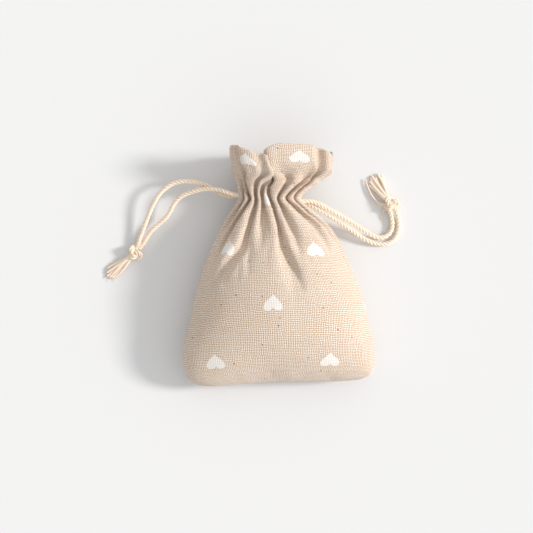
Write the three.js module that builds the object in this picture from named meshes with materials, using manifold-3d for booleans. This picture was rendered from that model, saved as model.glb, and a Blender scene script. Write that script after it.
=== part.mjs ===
// A small drawstring gift pouch of plain-woven cloth, filled out and lying on its back.
// Millimetres, +Z up, +Y from the bottom fold towards the mouth, +X to the right of someone who looks
// straight down on it. The origin is on the table, under the middle of the cloth.
//
// One strip of cloth, folded at the bottom and sewn up both sides, makes the front and the back. Each end
// is turned in, and two rows of stitches hold it: between the rows is the casing that the drawstrings run
// in, and above them is the doubled heading that frills out. Two cords go right round the casing. One
// leaves it on the left and the other on the right, and each ends in a stop knot with a frayed tassel.
import * as THREE from 'three';
import { mergeVertices } from 'three/addons/utils/BufferGeometryUtils.js';
import Module from 'manifold-3d';

const wasm = await Module();
wasm.setup();

// ---- Driving dimensions ----
const BAG_WIDTH = 73;            // belly, from side seam to side seam
const BAG_LENGTH = 92.4;         // bottom fold to the top of the frill
const BELLY_HEIGHT = 28;         // highest point of the filled belly above the table
const SEAM_HEIGHT = 12;          // side seams above the table, beside the belly
const BOTTOM_FOLD_HEIGHT = 8;    // bottom fold above the table
const BOTTOM_ROUND = 16;         // how far from the fold the bottom is rounded
const CASING_LENGTH = 10;        // between the two rows of stitches
const CASING_EDGE_WIDTH = 34;    // the casing at its lower row of stitches
const CASING_EDGE_X = -2;        // middle of that edge
const NECK_WIDTH = 24;           // where the drawstrings gather the casing
const NECK_THICKNESS = 16;
const NECK_X = -3.6;             // the neck is tied a little to the left of the middle
const NECK_HEIGHT = 11;          // middle of the neck above the table
const HEADING_LENGTH = 15.6;     // from the upper row of stitches to the top of the frill
const FRILL_WIDTH = 39.5;
const FRILL_THICKNESS = 20;
const FRILL_X = 1.1;             // middle of the frill
const FRILL_DIP = 3.5;           // valley between the two lobes at the front of the frill
const CLOTH = 0.8;               // one layer of cloth
const HEM_LAYERS = 2;            // the heading is the cloth and its turned-in hem
const SEAM_ALLOWANCE = 8;        // cloth inside each side seam
const CORD = 1.6;                // drawstring diameter
const CORD_CLEARANCE = 0.3;      // around a cord in its casing and in its exit slot
const THREAD = 0.5;              // sewing thread, as thick as it stands off the cloth
const STITCH_INSET = 0.8;        // from a casing's edge to its row of stitches
const KNOT_LENGTH = 5.6;         // stop knots
const KNOT_WIDTH = 4.6;
const KNOT_HEIGHT = 4.2;
const TASSEL_LENGTH = 9.4;       // frayed ends
const TASSEL_NECK = 2.2;
const TASSEL_SPREAD = 5.4;
const TASSEL_HEIGHT = 1.8;
const GAP = 0.3;                 // between pieces that touch

// ---- Places along the sack ----
const bottomY = -BAG_LENGTH / 2;
const mouthY = BAG_LENGTH / 2;
const casingTopY = mouthY - HEADING_LENGTH;
const casingLowY = casingTopY - CASING_LENGTH;
const cordY = (casingLowY + casingTopY) / 2;
const cordPitch = CORD + 2 * CORD_CLEARANCE;     // the two drawstrings lie side by side in the casing
const channelHeight = CORD + 2 * CORD_CLEARANCE;
const casingDepth = 2 * CLOTH + channelHeight;

// A smooth curve through [y, value] points that doesn't swing past them (monotone cubic).
function smooth(points) {
  const secants = points.slice(1).map((p, i) => (p[1] - points[i][1]) / (p[0] - points[i][0]));
  const slopes = points.map((p, i) => {
    if (i === 0 || i === points.length - 1) return secants[Math.min(i, secants.length - 1)];
    const [before, after] = [secants[i - 1], secants[i]];
    return before * after <= 0 ? 0 : (2 * before * after) / (before + after);
  });
  return (y) => {
    let i = points.findIndex((p) => y < p[0]) - 1;
    if (i === -2) i = points.length - 2;
    i = Math.max(0, i);
    const step = points[i + 1][0] - points[i][0];
    const t = (y - points[i][0]) / step;
    const low = points[i][1] * (1 + 2 * t) * (1 - t) ** 2 + points[i + 1][1] * t * t * (3 - 2 * t);
    return low + step * (slopes[i] * t * (1 - t) ** 2 - slopes[i + 1] * t * t * (1 - t));
  };
}

// ---- The skin: the outside of the whole sack ----
// Each curve gives one measure of the cross-section at a place along the sack. The neck keeps its size
// over the width of the two drawstrings that tie it.
const bodyAt = (share) => bottomY + share * (casingLowY - bottomY);
const halfBag = BAG_WIDTH / 2;
const headingAt = (share) => casingTopY + share * HEADING_LENGTH;

const leftEdge = smooth([
  [bottomY, -0.82 * halfBag],
  [bodyAt(0.05), -0.91 * halfBag],
  [bodyAt(0.26), -halfBag],
  [bodyAt(0.56), -0.84 * halfBag],
  [bodyAt(0.8), -0.71 * halfBag],
  [casingLowY, CASING_EDGE_X - CASING_EDGE_WIDTH / 2],
  [cordY - cordPitch, NECK_X - NECK_WIDTH / 2],
  [cordY + cordPitch, NECK_X - NECK_WIDTH / 2],
  [headingAt(0), FRILL_X - 0.88 * (FRILL_WIDTH / 2)],
  [headingAt(0.7), FRILL_X - FRILL_WIDTH / 2],
  [mouthY, FRILL_X - 0.96 * (FRILL_WIDTH / 2)],
]);
const rightEdge = smooth([
  [bottomY, 0.84 * halfBag],
  [bodyAt(0.04), 0.92 * halfBag],
  [bodyAt(0.14), halfBag],
  [bodyAt(0.5), 0.85 * halfBag],
  [bodyAt(0.8), 0.68 * halfBag],
  [casingLowY, CASING_EDGE_X + CASING_EDGE_WIDTH / 2],
  [cordY - cordPitch, NECK_X + NECK_WIDTH / 2],
  [cordY + cordPitch, NECK_X + NECK_WIDTH / 2],
  [headingAt(0), FRILL_X + 0.8 * (FRILL_WIDTH / 2)],
  [headingAt(0.5), FRILL_X + FRILL_WIDTH / 2],
  [mouthY, FRILL_X + 0.94 * (FRILL_WIDTH / 2)],
]);
const seamHeight = smooth([
  [bottomY, BOTTOM_FOLD_HEIGHT],
  [bodyAt(0.35), SEAM_HEIGHT],
  [bodyAt(0.8), SEAM_HEIGHT],
  [cordY - cordPitch, NECK_HEIGHT],
  [mouthY, NECK_HEIGHT],
]);
const topHeight = smooth([
  [bottomY, 0.8 * BELLY_HEIGHT],
  [bodyAt(0.45), BELLY_HEIGHT],
  [bodyAt(0.75), 0.92 * BELLY_HEIGHT],
  [cordY - cordPitch, NECK_HEIGHT + NECK_THICKNESS / 2],
  [cordY + cordPitch, NECK_HEIGHT + NECK_THICKNESS / 2],
  [mouthY, NECK_HEIGHT + FRILL_THICKNESS / 2],
]);
const underHeight = smooth([
  [bottomY, 0],
  [bodyAt(0.8), 0],
  [cordY - cordPitch, NECK_HEIGHT - NECK_THICKNESS / 2],
  [cordY + cordPitch, NECK_HEIGHT - NECK_THICKNESS / 2],
  [mouthY, NECK_HEIGHT - FRILL_THICKNESS / 2],
]);

const CROWN = 0.8;               // below 1 the front is plumper than an ellipse
const BACK_CROWN = 0.5;
const BACK_SPREAD = 1.2;         // above 1 the back rests flat on the table
const FRONT = 1;
const BACK = -1;

// A point of the skin, moved inwards by inset. turn goes from 0 at the left seam to PI at the right one.
// lift is the height above the seam, or below it at the back, where the half begins.
function skin(side, turn, y, inset, lift) {
  const left = leftEdge(y) + inset;
  const right = rightEdge(y) - inset;
  const seam = seamHeight(y);
  const fromFold = Math.min(1, Math.max(0, y - bottomY - inset) / (BOTTOM_ROUND - inset));
  const closing = Math.sqrt(1 - (1 - fromFold) ** 2);
  const sine = Math.max(0, Math.sin(turn));
  const x = (left + right) / 2 - ((right - left) / 2) * Math.cos(turn);
  const start = seam + side * lift;
  if (side === FRONT) {
    return new THREE.Vector3(x, y, start + (topHeight(y) - inset - start) * sine ** CROWN * closing);
  }
  const rest = Math.min(1, BACK_SPREAD * sine ** BACK_CROWN);
  return new THREE.Vector3(x, y, start - (start - underHeight(y) - inset) * rest * closing);
}

// A bent slab: across runs from seam to seam, along runs up the sack, through runs from out to in.
function slab(across, along, place) {
  const geometry = new THREE.BoxGeometry(1, 1, 1, across, along, 1);
  const position = geometry.attributes.position;
  for (let i = 0; i < position.count; i += 1) {
    const p = place(position.getX(i) + 0.5, position.getY(i) + 0.5, 0.5 - position.getZ(i));
    position.setXYZ(i, p.x, p.y, p.z);
  }
  return geometry;
}

// A part of the skin as a wall between two insets. row(v, inset) is the place along the sack of its share
// v, and edge(turn) may move the wall's upper end.
function wall(side, row, outer, inner, { across, along, lift = GAP / 2, edge = () => 0 }) {
  const geometry = slab(across, along, (u, v, w) => {
    const inset = outer + (inner - outer) * w;
    const turn = Math.PI * u;
    const point = skin(side, turn, row(v, inset), inset, lift);
    point.y += edge(turn) * v;
    return point;
  });
  return side === FRONT ? geometry : turnedOut(geometry);
}

const evenRows = (y0, y1) => (v) => y0 + (y1 - y0) * v;

// The back half is the front's mirror image, so its triangles are wound the other way round.
function turnedOut(geometry) {
  const index = geometry.index.array;
  for (let i = 0; i < index.length; i += 3) {
    [index[i], index[i + 1]] = [index[i + 1], index[i]];
  }
  return geometry;
}

// A round cord or thread through a list of points.
function tube(points, diameter, steps, sides) {
  const section = new THREE.Shape();
  for (let i = 0; i < sides; i += 1) {
    const angle = (2 * Math.PI * i) / sides;
    const [x, y] = [(diameter / 2) * Math.cos(angle), (diameter / 2) * Math.sin(angle)];
    if (i === 0) section.moveTo(x, y);
    else section.lineTo(x, y);
  }
  section.closePath();
  return new THREE.ExtrudeGeometry(section, { steps, extrudePath: new THREE.CatmullRomCurve3(points) });
}

function solidOf(geometry) {
  const bare = geometry.clone();
  bare.deleteAttribute('normal');
  bare.deleteAttribute('uv');
  const merged = mergeVertices(bare, 1e-4);
  return new wasm.Manifold(new wasm.Mesh({
    numProp: 3,
    vertProperties: new Float32Array(merged.attributes.position.array),
    triVerts: new Uint32Array(merged.index.array),
  }));
}

function geometryOf(solid) {
  const mesh = solid.getMesh();
  const geometry = new THREE.BufferGeometry();
  geometry.setAttribute('position', new THREE.BufferAttribute(mesh.vertProperties, 3));
  geometry.setIndex(new THREE.BufferAttribute(mesh.triVerts, 1));
  return geometry;
}

// ---- Cloth ----
const bodyGrid = { across: 20, along: 14 };
const casingGrid = { across: 20, along: 6 };
const headingGrid = { across: 20, along: 4 };

// The body's rows crowd together at the bottom fold and below the casing, where the cloth curves most.
function bodyRow(v, inset) {
  const start = bottomY + inset;
  return start + (casingLowY - GAP / 2 - start) * (0.5 - 0.5 * Math.cos(Math.PI * v));
}

const panel = (side) => wall(side, bodyRow, 0, CLOTH, bodyGrid);

// A casing is two layers of cloth sewn together along both edges, with the channel between them open at
// both side seams. A slot in the outer layer there lets the drawstring out.
const exits = {
  left: [leftEdge(cordY), cordY + cordPitch / 2],
  right: [rightEdge(cordY), cordY - cordPitch / 2],
};
const slotWidth = CORD + 2 * CORD_CLEARANCE;
const slotHeight = 2 * CORD + GAP + 2 * CORD_CLEARANCE;
const slotDepth = 4 * CLOTH;
const pastSeam = -CORD;          // the channel runs on past the side seams, so it is open there

function casing(side) {
  const [low, top] = [casingLowY + GAP / 2, casingTopY - GAP / 2];
  const block = solidOf(wall(side, evenRows(low, top), 0, casingDepth, casingGrid));
  const channelRows = evenRows(low + 2 * CLOTH, top - 2 * CLOTH);
  const openEnded = { ...casingGrid, lift: pastSeam };
  const channel = solidOf(wall(side, channelRows, CLOTH, CLOTH + channelHeight, openEnded));
  let solid = block.subtract(channel);
  for (const [x, y] of Object.values(exits)) {
    const slot = new THREE.BoxGeometry(slotDepth, slotWidth, slotHeight);
    slot.translate(x, y, NECK_HEIGHT);
    solid = solid.subtract(solidOf(slot));
  }
  return geometryOf(solid);
}

// The front of the frill dips between its two lobes.
const lobes = (turn) => -FRILL_DIP * Math.exp(-(((turn - 0.4 * Math.PI) / 0.35) ** 2));
const heading = (side) => wall(side, evenRows(casingTopY + GAP / 2, mouthY), 0, HEM_LAYERS * CLOTH,
  { ...headingGrid, edge: side === FRONT ? lobes : () => 0 });

// The cloth turned inside at a side seam, both layers together. Its rows are the panels' own rows, so it
// keeps its distance from them.
const ALLOWANCE_START = 3;       // rows up from the bottom fold
const allowanceRows = bodyGrid.along - ALLOWANCE_START;
const allowanceRow = (v) => bodyRow((ALLOWANCE_START + allowanceRows * v) / bodyGrid.along, CLOTH);

function seamAllowance(hand) {
  const edge = hand < 0 ? leftEdge : rightEdge;
  return slab(2, allowanceRows, (u, v, w) => {
    const y = allowanceRow(v);
    const inward = CLOTH + GAP + SEAM_ALLOWANCE * (hand < 0 ? u : 1 - u);
    return new THREE.Vector3(edge(y) - hand * inward, y, seamHeight(y) + CLOTH * (1 - 2 * w));
  });
}

// ---- Sewing thread ----
const threadInset = -(GAP + THREAD / 2);
const ROW_TURN = 0.12;           // how far from a side seam a row of stitches stops

function casingStitching(side, y) {
  const points = [];
  const count = 18;
  for (let i = 0; i <= count; i += 1) {
    const turn = ROW_TURN + ((Math.PI - 2 * ROW_TURN) * i) / count;
    points.push(skin(side, turn, y, threadInset, GAP / 2));
  }
  return tube(points, THREAD, 18, 6);
}

function sideStitching(hand) {
  const edge = hand < 0 ? leftEdge : rightEdge;
  const points = [];
  for (let i = 0; i < allowanceRows; i += 1) {
    const y = allowanceRow(i / allowanceRows);
    const inward = CLOTH + GAP + 2 * THREAD;
    points.push(new THREE.Vector3(edge(y) - hand * inward, y, seamHeight(y) + CLOTH + GAP + THREAD / 2));
  }
  return tube(points, THREAD, 2 * allowanceRows, 6);
}

// ---- Drawstrings ----
// Inside the casing each cord makes one turn of the neck, half of it at the front and half at the back.
function drawstringRun(side, y) {
  const depth = CLOTH + channelHeight / 2;
  const points = [];
  const count = 14;
  const aboveStrands = (2 * CORD + 2 * GAP) / (NECK_THICKNESS / 2 - depth - pastSeam);
  const start = Math.asin(aboveStrands ** (1 / CROWN));
  for (let i = 0; i <= count; i += 1) {
    const turn = start + ((Math.PI - 2 * start) * i) / count;
    points.push(skin(side, turn, y, depth, pastSeam));
  }
  return tube(points, CORD, 12, 8);
}

// Outside, each cord's two strands run from the exit to the knot. The points are where they lie.
const at = (list) => list.map(([x, y, z]) => new THREE.Vector3(x, y, z));
const STRANDS = {
  left_outer_strand: at([
    [-13.9, 26.7, 10.0], [-16.0, 26.6, 9.9], [-18.6, 26.5, 9.4], [-21.5, 27.3, 8.4], [-24.6, 29.1, 7.5],
    [-28.0, 30.8, 7.2], [-31.6, 31.8, 7.1], [-35.4, 32.1, 7.0], [-39.1, 31.5, 6.8], [-42.3, 29.8, 6.5],
    [-44.9, 27.3, 6.1], [-46.9, 24.2, 5.5], [-48.5, 20.9, 4.8], [-49.9, 17.4, 4.0], [-51.3, 13.8, 3.3],
    [-52.5, 10.6, 2.7], [-53.3, 7.9, 2.4],
  ]),
  left_inner_strand: at([
    [-13.9, 26.7, 12.0], [-16.0, 26.8, 11.9], [-18.8, 27.6, 11.5], [-21.9, 28.6, 10.6], [-25.2, 29.1, 9.6],
    [-28.6, 29.0, 8.6], [-32.0, 28.3, 7.6], [-35.2, 27.2, 6.7], [-37.8, 25.6, 5.9], [-39.6, 23.4, 5.2],
    [-40.9, 20.9, 4.6], [-42.5, 18.5, 4.0], [-44.8, 16.4, 3.5], [-47.3, 14.3, 3.0], [-49.4, 11.7, 2.6],
    [-51.0, 9.0, 2.3],
  ]),
  right_inner_strand: at([
    [6.7, 24.5, 12.0], [8.8, 24.5, 11.9], [11.8, 24.5, 11.3], [15.0, 23.6, 10.3], [18.5, 21.8, 9.2],
    [21.8, 20.0, 8.0], [25.2, 18.1, 6.7], [28.5, 16.2, 5.3], [31.5, 14.3, 4.1], [34.3, 12.5, 3.0],
    [37.0, 11.3, 2.2], [39.6, 11.1, 1.6], [41.8, 12.2, 1.2], [43.0, 14.3, 1.2], [43.2, 16.8, 1.4],
    [42.8, 19.2, 1.8], [42.4, 20.8, 2.0],
  ]),
  right_outer_strand: at([
    [6.7, 24.5, 10.0], [8.8, 24.4, 9.9], [12.1, 23.2, 9.5], [15.4, 21.3, 8.8], [18.7, 19.4, 7.8],
    [21.9, 17.4, 6.6], [25.1, 15.3, 5.4], [28.3, 13.2, 4.2], [31.5, 11.1, 3.1], [34.9, 9.4, 2.1],
    [38.4, 8.6, 1.4], [41.8, 8.9, 1.1], [44.3, 10.7, 1.0], [45.5, 13.5, 1.0], [45.7, 16.4, 1.2],
    [45.3, 19.0, 1.6], [44.7, 21.0, 1.9],
  ]),
};
const KNOTS = { left: [-54.5, 4.9, 2.3], right: [42.7, 23.9, 2.3] };
const TASSEL_TIPS = { left: [-64.3, -3.4], right: [37.4, 35.0] };

function strand(points) {
  const length = new THREE.CatmullRomCurve3(points).getLength();
  return tube(points, CORD, Math.ceil(length / (2.2 * CORD)), 8);
}

// A stop knot is a lump longer than it is wide, and lies with its length across the cord.
function knot() {
  const geometry = new THREE.SphereGeometry(0.5, 12, 8);
  geometry.scale(KNOT_LENGTH, KNOT_WIDTH, KNOT_HEIGHT);
  return geometry;
}

// The frayed yarns fan out from the knot and lie on the table.
function tassel() {
  const fan = new THREE.Shape();
  fan.moveTo(0, -TASSEL_NECK / 2);
  fan.quadraticCurveTo(TASSEL_LENGTH / 2, -TASSEL_SPREAD / 2, TASSEL_LENGTH, -TASSEL_SPREAD / 2);
  fan.lineTo(TASSEL_LENGTH, TASSEL_SPREAD / 2);
  fan.quadraticCurveTo(TASSEL_LENGTH / 2, TASSEL_SPREAD / 2, 0, TASSEL_NECK / 2);
  fan.closePath();
  return new THREE.ExtrudeGeometry(fan, { depth: TASSEL_HEIGHT, bevelEnabled: false, curveSegments: 5 });
}

// ---- The assembly ----
const cloth = { color: 0xd8c4ae, roughness: 0.92, metalness: 0 };
const cordYarn = { color: 0xe8cfae, roughness: 0.88, metalness: 0 };
const thread = { color: 0xe2d3c0, roughness: 0.85, metalness: 0 };

const sack = new THREE.Group();

function add(name, geometry, finish) {
  const mesh = new THREE.Mesh(geometry, new THREE.MeshStandardMaterial(finish));
  mesh.name = name;
  sack.add(mesh);
  return mesh;
}

for (const [word, side] of [['front', FRONT], ['back', BACK]]) {
  add(`${word}_panel`, panel(side), cloth);
  add(`${word}_casing`, casing(side), cloth);
  add(`${word}_heading`, heading(side), cloth);
  add(`${word}_lower_stitching`, casingStitching(side, casingLowY + GAP / 2 + STITCH_INSET), thread);
  add(`${word}_upper_stitching`, casingStitching(side, casingTopY - GAP / 2 - STITCH_INSET), thread);
  add(`left_drawstring_${word}`, drawstringRun(side, exits.left[1]), cordYarn);
  add(`right_drawstring_${word}`, drawstringRun(side, exits.right[1]), cordYarn);
}
for (const [word, hand] of [['left', -1], ['right', 1]]) {
  add(`${word}_seam_allowance`, seamAllowance(hand), cloth);
  add(`${word}_side_stitching`, sideStitching(hand), thread);
  const stop = add(`${word}_knot`, knot(), cordYarn);
  stop.position.set(...KNOTS[word]);
  const [tipX, tipY] = TASSEL_TIPS[word];
  const lay = Math.atan2(tipY - KNOTS[word][1], tipX - KNOTS[word][0]);
  stop.rotation.z = lay + Math.PI / 2;
  const fringe = add(`${word}_tassel`, tassel(), cordYarn);
  fringe.rotation.z = lay;
  const reach = KNOT_WIDTH / 2 + GAP;
  fringe.position.set(
    KNOTS[word][0] + reach * Math.cos(lay),
    KNOTS[word][1] + reach * Math.sin(lay),
    GAP / 2,
  );
}
for (const [name, points] of Object.entries(STRANDS)) {
  add(name, strand(points), cordYarn);
}

export default sack;
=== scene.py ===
# %% [markdown]
# # A small drawstring gift pouch
# One strip of linen-cotton cloth, folded at the bottom and sewn up both sides, is filled out and lies on
# its back. Its ends are turned in, and two drawstrings run round the casing that this makes. The packed
# model gives every size and place, so it is loaded first.
# Everything below is in metres, in the imported model's frame: +Y runs from the bottom fold to the mouth.

# %% Load the imported model
import math
import random
import bmesh
import bpy
import numpy as np
from mathutils import Matrix, Vector


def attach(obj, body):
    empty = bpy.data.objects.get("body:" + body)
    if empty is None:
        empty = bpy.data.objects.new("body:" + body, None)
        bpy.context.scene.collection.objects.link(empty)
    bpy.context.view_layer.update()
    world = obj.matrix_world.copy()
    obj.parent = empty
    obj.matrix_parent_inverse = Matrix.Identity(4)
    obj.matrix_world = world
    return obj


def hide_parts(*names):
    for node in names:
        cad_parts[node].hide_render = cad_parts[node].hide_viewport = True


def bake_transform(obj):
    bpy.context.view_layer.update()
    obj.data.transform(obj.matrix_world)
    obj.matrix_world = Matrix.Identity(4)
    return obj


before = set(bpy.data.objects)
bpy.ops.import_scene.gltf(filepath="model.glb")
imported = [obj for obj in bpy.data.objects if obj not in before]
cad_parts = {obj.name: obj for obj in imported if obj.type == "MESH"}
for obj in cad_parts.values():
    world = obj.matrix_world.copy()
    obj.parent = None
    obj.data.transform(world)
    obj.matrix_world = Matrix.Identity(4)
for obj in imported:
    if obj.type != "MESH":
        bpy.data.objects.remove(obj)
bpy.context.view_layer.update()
MM = 0.001

# %% [markdown]
# The pouch is seen from straight above, as flat goods are usually shown. A long lens from 0.9 m keeps the
# sides from leaning outwards. The sensor is 36 mm wide, so the focal length follows from how much of the
# table is in view.

# %% Camera
VIEW_WIDTH = 202.5 * MM
VIEW_CENTRE = -4.5 * MM
CAMERA_HEIGHT = 0.9
SENSOR = 36

lens = bpy.data.cameras.new("overhead_camera")
lens.sensor_width = SENSOR
lens.lens = SENSOR * CAMERA_HEIGHT / VIEW_WIDTH
camera = bpy.data.objects.new("overhead_camera", lens)
camera.location = (VIEW_CENTRE, 0, CAMERA_HEIGHT)
bpy.context.scene.collection.objects.link(camera)
bpy.context.scene.camera = camera
print("focal length, mm:", round(lens.lens))

# %% [markdown]
# Every piece is a mesh made in a bmesh and then turned into an object at the origin, so that its place is
# in its mesh. One helper adds the object, and another hides the imported solids that it stands for and
# attaches it to the body that it moves with; a piece given a second body is attached to none, and only its
# place is baked into its mesh. A third sets many values of a thing at once.

# %% Helpers that make a piece
def set_values(thing, **values):
    for name, value in values.items():
        setattr(thing, name, value)
    return thing

def new_piece(name, shape, finishes):
    """Turns a bmesh into an object with its materials, and frees the bmesh."""
    mesh = bpy.data.meshes.new(name)
    shape.to_mesh(mesh)
    shape.free()
    for polygon in mesh.polygons:
        polygon.use_smooth = True
    for finish in finishes:
        mesh.materials.append(finish)
    piece = bpy.data.objects.new(name, mesh)
    bpy.context.scene.collection.objects.link(piece)
    return piece

def belongs(piece, body, slot, *nodes, between=None):
    """between is (second body, start, end); when it is given, the piece is attached to no body and is only
    baked.
    """
    if between is None:
        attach(piece, body)
    else:
        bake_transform(piece)
    if nodes:
        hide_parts(*nodes)
    print(piece.name, "moves with", body, "and has", len(piece.data.polygons), "faces")

# %% [markdown]
# A material starts from hex colours, which are written for a screen. The shader works in linear light, so
# one function converts them. Another sets a node's sockets or links them, and a third adds a node in one
# line. Inputs are listed in the order of the node's sockets, or given by number or name.

# %% Helpers that make a material
def linear(hex_colour):
    parts = [int(hex_colour[i:i + 2], 16) / 255 for i in (1, 3, 5)]
    return tuple(p / 12.92 if p <= 0.04045 else ((p + 0.055) / 1.055) ** 2.4 for p in parts) + (1.0,)

def set_inputs(tree, node, inputs):
    """inputs lists values or other nodes' outputs in the order of the sockets, or maps sockets to them."""
    for socket, value in inputs.items() if isinstance(inputs, dict) else enumerate(inputs):
        if isinstance(value, bpy.types.NodeSocket):
            tree.links.new(value, node.inputs[socket])
        else:
            node.inputs[socket].default_value = value

def add_node(tree, kind, inputs=(), out=0, **settings):
    """Adds a node and gives one of its outputs. kind is its type without the leading ShaderNode."""
    node = set_values(tree.nodes.new("ShaderNode" + kind), **settings)
    set_inputs(tree, node, inputs)
    return node.outputs[out]

def new_material(name):
    material = bpy.data.materials.new(name)
    material.use_nodes = True
    tree = material.node_tree
    return material, tree, tree.nodes["Principled BSDF"]

# %% [markdown]
# ## The cord
# The drawstrings are soft three-ply cotton cord. Each ply is a loose bundle of fibres, so the finish has
# fine streaks that run along the ply and no gloss. The grooves between the plies are painted darker and
# warmer: painted shade where the plies shade each other. The streaks follow the piece's UV map: U runs
# along the ply in millimetres and V goes round it.

# %% Cotton cord finish
def cotton_cord(name, pale, deep, streak, painted_groove_shade=None):
    """streak is how often the streaks change in a millimetre along the ply; the last colour is painted shade
    in the grooves.
    """
    material, tree, shader = new_material(name)
    uv = add_node(tree, "UVMap", uv_map="UVMap")
    # Real fibres are 0.02 mm across. These are about 0.15 mm, nine streaks round a ply, so that they show.
    along = add_node(tree, "Mapping", {0: uv, "Scale": (streak, 9, 1)})
    fibres = add_node(tree, "TexNoise", {"Vector": along, "Scale": 1.0, "Detail": 3})
    spread = add_node(tree, "MapRange", [fibres, 0.34, 0.66])
    colour = add_node(tree, "Mix", {0: spread, 6: linear(deep), 7: linear(pale)}, data_type="RGBA", out=2)
    if painted_groove_shade:
        # V is 0 on the outside of a ply and 0.5 where it touches the others. Its cosine finds the groove,
        # which is given painted shade.
        v = add_node(tree, "SeparateXYZ", [uv], out=1)
        turn = add_node(tree, "Math", [v, 2 * math.pi], operation="MULTIPLY")
        facing = add_node(tree, "Math", [turn], operation="COSINE")
        inner = add_node(tree, "MapRange", [facing, 0.97, 0.35])
        colour = add_node(tree, "Mix", {0: inner, 6: colour, 7: linear(painted_groove_shade)}, data_type="RGBA", out=2)
    bump = add_node(tree, "Bump", {"Height": fibres, "Strength": 0.5, "Distance": 0.12 * MM})
    set_inputs(tree, shader, {"Base Color": colour, "Normal": bump, "Roughness": 0.88, "IOR": 1.53,
                              "Sheen Weight": 0.35, "Sheen Roughness": 0.5})
    print("material:", name)
    return material

# The cord's last colour is painted shade in the grooves between the plies.
twisted_cotton = cotton_cord("twisted_cotton_cord", "#FFF5E8", "#F0D5B8", 0.6, painted_groove_shade="#A26C42")
frayed_cotton = cotton_cord("frayed_cotton_yarn", "#FFFBF4", "#F0CBA6", 0.35)

# %% [markdown]
# A cord is swept along a line. The sweep starts from a flat grid with one row for each point of the line
# and one column for each side of the section; its vertices move to rings round the line, and the grid's
# two long edges are merged. To stop the rings from turning about the line by chance, each ring takes its
# direction from the one before. The line itself passes smoothly through a few given points.

# %% Helpers that sweep a cord
MERGE_WITHIN = 0.0001 * MM

def smooth_line(points, step):
    """A Catmull-Rom line through the points, as points that are about step apart."""
    points = [Vector(p) for p in points]
    ends = [2 * points[0] - points[1]] + points + [2 * points[-1] - points[-2]]
    line = []
    for a, b, c, d in zip(ends, ends[1:], ends[2:], ends[3:]):
        count = max(2, round((c - b).length / step))
        for i in range(count):
            t = i / count
            line.append(0.5 * ((2 * b) + (c - a) * t + (2 * a - 5 * b + 4 * c - d) * t * t
                               + (3 * b - a - 3 * c + d) * t ** 3))
    return line + [points[-1]]

def line_frames(line, core=None):
    """For each point of a line: the distance along it, and two directions square to it. With a core,
    which is another line beside it, the first direction points away from the core."""
    side, run, frames = None, 0.0, []
    for i, point in enumerate(line):
        ahead = (line[min(i + 1, len(line) - 1)] - line[max(i - 1, 0)]).normalized()
        if core:
            side = point - core[i]
        elif side is None:
            side = ahead.orthogonal()
        side = (side - side.dot(ahead) * ahead).normalized()
        if i:
            run += (point - line[i - 1]).length
        frames.append((run, side, ahead.cross(side)))
    return frames

def line_length(line):
    return sum((b - a).length for a, b in zip(line, line[1:]))

def sweep(shape, line, radii, sides, core=None):
    """Adds a closed tube round a line. radii has one radius for each point."""
    frames = line_frames(line, core)
    made = bmesh.ops.create_grid(shape, x_segments=len(line) - 1, y_segments=sides, size=0.5)
    uv = shape.loops.layers.uv.verify()
    row = {v: (round((v.co.x + 0.5) * (len(line) - 1)), round((v.co.y + 0.5) * sides))
           for v in made["verts"]}
    for face in {f for v in made["verts"] for f in v.link_faces}:
        for loop in face.loops:
            i, j = row[loop.vert]
            loop[uv].uv = (frames[i][0] / MM, j / sides)
    for vertex, (i, j) in row.items():
        angle = 2 * math.pi * j / sides
        run, side, up = frames[i]
        vertex.co = line[i] + radii[i] * (math.cos(angle) * side + math.sin(angle) * up)
    bmesh.ops.remove_doubles(shape, verts=made["verts"], dist=MERGE_WITHIN)
    rims = [e for v in row if v.is_valid for e in v.link_edges if e.is_boundary]
    bmesh.ops.holes_fill(shape, edges=list(set(rims)), sides=sides)

def outwards(shape):
    bmesh.ops.recalc_face_normals(shape, faces=shape.faces)
    return shape

# %% [markdown]
# ## The four free strands
# Each drawstring goes right round the neck, so two strands come out on each side. These are the same
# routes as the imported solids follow, in millimetres: out of the casing, down in a loose arc, and along the
# table to the stop knot. On the left the outer strand starts lower and passes under the inner one. The
# last point of each route is inside its knot, a few millimetres on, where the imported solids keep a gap.

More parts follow.
